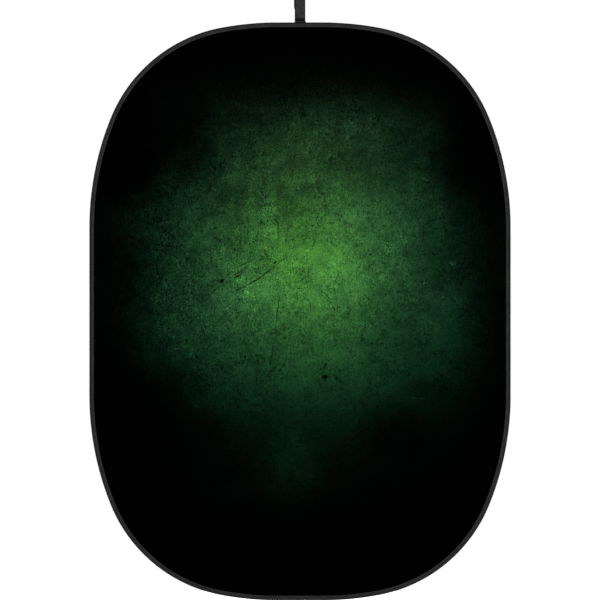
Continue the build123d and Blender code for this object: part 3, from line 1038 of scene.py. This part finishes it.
def webbing_section(along):
    """Places across the webbing and out from its middle line, round its section, for each place along it."""
    half, edge, body_half = WEBBING_WIDTH / 2, 0.55 * MM, 0.66 * MM
    flat = np.linspace(-(half - edge), half - edge, 62)
    sides = []
    for face in (1, -1):
        u = flat * face
        height = body_half + 0.10 * MM * (weave_height(u[None], along[:, None], face) - 0.3)
        height = height * (1 - 0.25 * smooth_step(half - 2.2 * MM, half, np.abs(u)))[None]
        sides.append((np.broadcast_to(u, height.shape), face * height))
        bend = face * (half - 0.12 * MM + 0.10 * MM * np.cos(2 * pi * along / YARN_PITCH))
        for narrower, up in ((0.993, 0.62), (1, 0), (0.993, -0.62)):
            height = np.full((len(along), 1), face * body_half * up)
            sides.append(((bend * narrower)[:, None], height))
    return [np.concatenate(part, 1) for part in zip(*sides)]


def make_webbing():
    """The loop's one strip. Its back leg hangs a little aside, and its foot flares at one edge."""
    path, along = webbing_path()
    ways = unit(np.gradient(path, axis=0))
    half, middle = WEBBING_WIDTH / 2, along[-1] / 2
    u, w = webbing_section(along)
    up = path[:, 1]
    slid = np.where(along > middle, smooth_step(-46 * MM, -30 * MM, up), smooth_step(0, 13 * MM, up))
    flare = smooth_step(-79 * MM, -89 * MM, up)[:, None] * smooth_step(6 * MM, half, u)
    x = u - 2.6 * MM * slid[:, None] + 2.4 * MM * flare
    y, z = path[:, :1] - ways[:, 1:] * w, path[:, 1:] + ways[:, :1] * w
    points = np.stack([x, y, z], -1)
    rows, columns = x.shape
    faces = grid_faces(rows, columns).tolist() + end_faces(rows, columns)
    weave = np.stack([np.broadcast_to(along[:, None], u.shape), u], -1)
    from_neck = np.abs(up - PANEL_TOP - NECK_ROWS[1])
    necks = [float(along[leg][np.argmin(from_neck[leg])]) for leg in (along < middle, along >= middle)]
    strip = make_piece("webbing_loop", points, faces, webbing_material(necks), weave)
    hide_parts("hanging_loop", "loop_tails")
    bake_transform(strip)


def zigzag(low, high, seed):
    """Where the thread of a bartack turns: places across the webbing, and up or in, from low to high."""
    turns = round(TACK_WIDTH / TACK_PITCH) + 1
    draw = np.random.default_rng(seed)
    across = (np.arange(turns) - (turns - 1) / 2) * TACK_PITCH + draw.normal(0, 0.03, turns) * MM
    return across, np.where(np.arange(turns) % 2 == 0, low, high) + draw.normal(0, 0.06, turns) * MM


def join_tacks(name, node, body, tacks):
    """One piece of several tacks. Each is the points that its thread turns at, and its side."""
    starts = np.concatenate([points[:-1] for points, _ in tacks])
    ends = np.concatenate([points[1:] for points, _ in tacks])
    sides = np.concatenate([np.full(len(points) - 1, side) for points, side in tacks])
    make_stitches(name, node, body, TACK_THREAD, starts, ends, sides, TACK_LIFT, TACK_RADIUS)


def make_tacks():
    """Three rows of bartack on each side of the neck, and one across each tail."""
    neck, tails = [], []
    for row, height in enumerate(NECK_ROWS):
        middle, half = PANEL_TOP + height, 1.25 * MM
        for side in (-1, 1):
            across, up = zigzag(middle - half, middle + half, 61 + 2 * row + side)
            neck.append((np.stack([across, 0 * across + side * (WEBBING - 0.10 * MM), up], -1), side))
    for side, depth in ((-1, FLANGE_DEPTH - 0.02 * MM), (1, FLANGE_DEPTH + 2 * WEBBING - 0.06 * MM)):
        across, from_rim = zigzag(13.35 * MM, 15.05 * MM, 81 + side)
        tails.append((on_panel(TOP_MIDDLE + across, from_rim, side * depth), side))
    join_tacks("neck_tack_stitches", "neck_bartacks", "loop", neck)
    join_tacks("tail_tack_stitches", "tail_bartacks", "panel", tails)


# --- label

def make_label():
    """A blank woven label, lying on the lining with its free end and corners lifted a little."""
    long, high = label_high.x - label_low.x, label_high.z - label_low.z
    u, v = np.meshgrid(np.linspace(0, 1, 41), np.linspace(0, 1, 27), indexing="ij")
    x, z = label_low.x + u * long, label_low.z + v * high
    from_rim = HALF_WIDTH - x
    along = 0.75 * RIM_LENGTH + MIDDLE_Z - z
    base = pucker(along, from_rim) + undulation(x, z, from_rim)
    loose = smooth_step(*LOOSE_FROM_TO, from_rim) * 1.3 * MM
    free = (1 - u) ** 2
    lift = (0.9 * free + 0.5 * free * (2 * v - 1) ** 2 + 0.12 * np.sin(9 * u + 4 * v) * (1 - u)) * MM
    under = MIDDLE_Y + CLOTH_FAR + 0.06 * MM + base + loose + lift
    thick = 0.30 * MM * (1 - 0.35 * smooth_step(0.93, 1, np.abs(2 * v - 1)))
    rows, columns = u.shape
    points = np.concatenate([np.stack([x, under + thick, z], -1), np.stack([x, under, z], -1)])
    top = grid_faces(rows, columns, round_it=False)
    faces = top.tolist() + (top[:, ::-1] + rows * columns).tolist()
    grid = np.arange(rows * columns).reshape(rows, columns)
    ring = [*grid[:, 0], *grid[-1, 1:], *grid[-2::-1, -1], *grid[0, -2:0:-1]]
    for a, b in zip(ring, ring[1:] + ring[:1]):
        faces.append([a, b, b + rows * columns, a + rows * columns])
    weave = np.concatenate([np.stack([u * long, v * high], -1)] * 2)
    label = make_piece("blank_label", points, faces, label_material(), weave)
    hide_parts("care_label")
    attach(label, "panel")


# --- hidden steel, studio and camera

def dress(node, material):
    """Give a CAD piece another material."""
    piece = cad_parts[node]
    piece.data.materials.clear()
    piece.data.materials.append(material)


def make_world():
    """White to the camera, and a dim even light on the scene."""
    world = bpy.data.worlds.new("studio")
    bpy.context.scene.world = world
    world.use_nodes = True
    tree = world.node_tree
    rays = tree.nodes.new("ShaderNodeLightPath")
    mix = tree.nodes.new("ShaderNodeMixShader")
    tree.links.new(rays.outputs["Is Camera Ray"], mix.inputs[0])
    light, seen = tree.nodes["Background"], tree.nodes.new("ShaderNodeBackground")
    for index, (shader, strength) in enumerate(((light, 0.30), (seen, 1.0)), 1):
        shader.inputs["Color"].default_value = grey(1.0)
        shader.inputs["Strength"].default_value = strength
        tree.links.new(shader.outputs[0], mix.inputs[index])
    tree.links.new(mix.outputs[0], tree.nodes["World Output"].inputs[0])


def make_lamps():
    """Large soft lamps, aimed at the panel's middle."""
    for name, place, size, power in (
        ("key", (-5.6, -5.6, MIDDLE_Z + 0.9), 2.6, 330.0),
        ("fill", (5.6, -5.6, MIDDLE_Z + 0.3), 2.6, 290.0),
        ("back", (4.2, 5.2, 1.6), 2.6, 330.0),
        ("back_fill", (-4.5, 5.0, 0.0), 3.0, 120.0),
    ):
        lamp = bpy.data.lights.new(name, "AREA")
        lamp.shape, lamp.size, lamp.energy = "DISK", size, power
        holder = add_object(name, lamp)
        holder.location = place
        aim = Vector((0, MIDDLE_Y, MIDDLE_Z)) - holder.location
        holder.rotation_euler = aim.to_track_quat("-Z", "Y").to_euler()


def make_floor():
    """A wide disc, a way below the panel."""
    rings, spokes = 6, 96
    angles = np.arange(spokes) * 2 * pi / spokes
    points = [(0, 0, 0)]
    for ring in range(1, rings + 1):
        reach = FLOOR_RADIUS * ring / rings
        points += [(reach * cos(a), reach * sin(a), 0) for a in angles]
    faces = [[0, 1 + j, 1 + (j + 1) % spokes] for j in range(spokes)]
    faces += grid_faces(rings, spokes, first=1)[:, ::-1].tolist()
    mesh = bpy.data.meshes.new("studio_floor")
    mesh.from_pydata(points, [], faces)
    mesh.materials.append(floor_material())
    floor = add_object("studio_floor", mesh)
    floor.location = (0, 0, PANEL_BOTTOM - FLOOR_DROP)


def make_camera():
    """Square on to the panel, from its front."""
    lens = bpy.data.cameras.new("camera")
    lens.sensor_width = 36.0
    lens.lens = lens.sensor_width * CAMERA_DISTANCE / WIDTH_SEEN
    lens.clip_end = 60.0
    camera = add_object("camera", lens)
    camera.location = (0.0, MIDDLE_Y - CAMERA_DISTANCE, MIDDLE_Z + CAMERA_RISE)
    camera.rotation_euler = (pi / 2, 0, 0)
    bpy.context.scene.camera = camera


bpy.context.scene.view_settings.view_transform = "Standard"
make_world()
make_lamps()
make_floor()
make_camera()
make_cloths()
make_binding()
make_seam("front_seam_stitches", "binding_needle_thread", -1)
make_seam("back_seam_stitches", "binding_bobbin_thread", 1)
make_webbing()
make_tacks()
make_label()
dress("spring_band", steel_material("spring_steel", 0.36, (1, 0.1, 1)))
dress("band_sleeve", steel_material("plated_sleeve", 0.30, (0.2, 1, 1)))
dress("band_rivets", steel_material("plated_rivets", 0.26, (1, 1, 1)))
dress("sleeve_wrap", shrink_wrap_material())
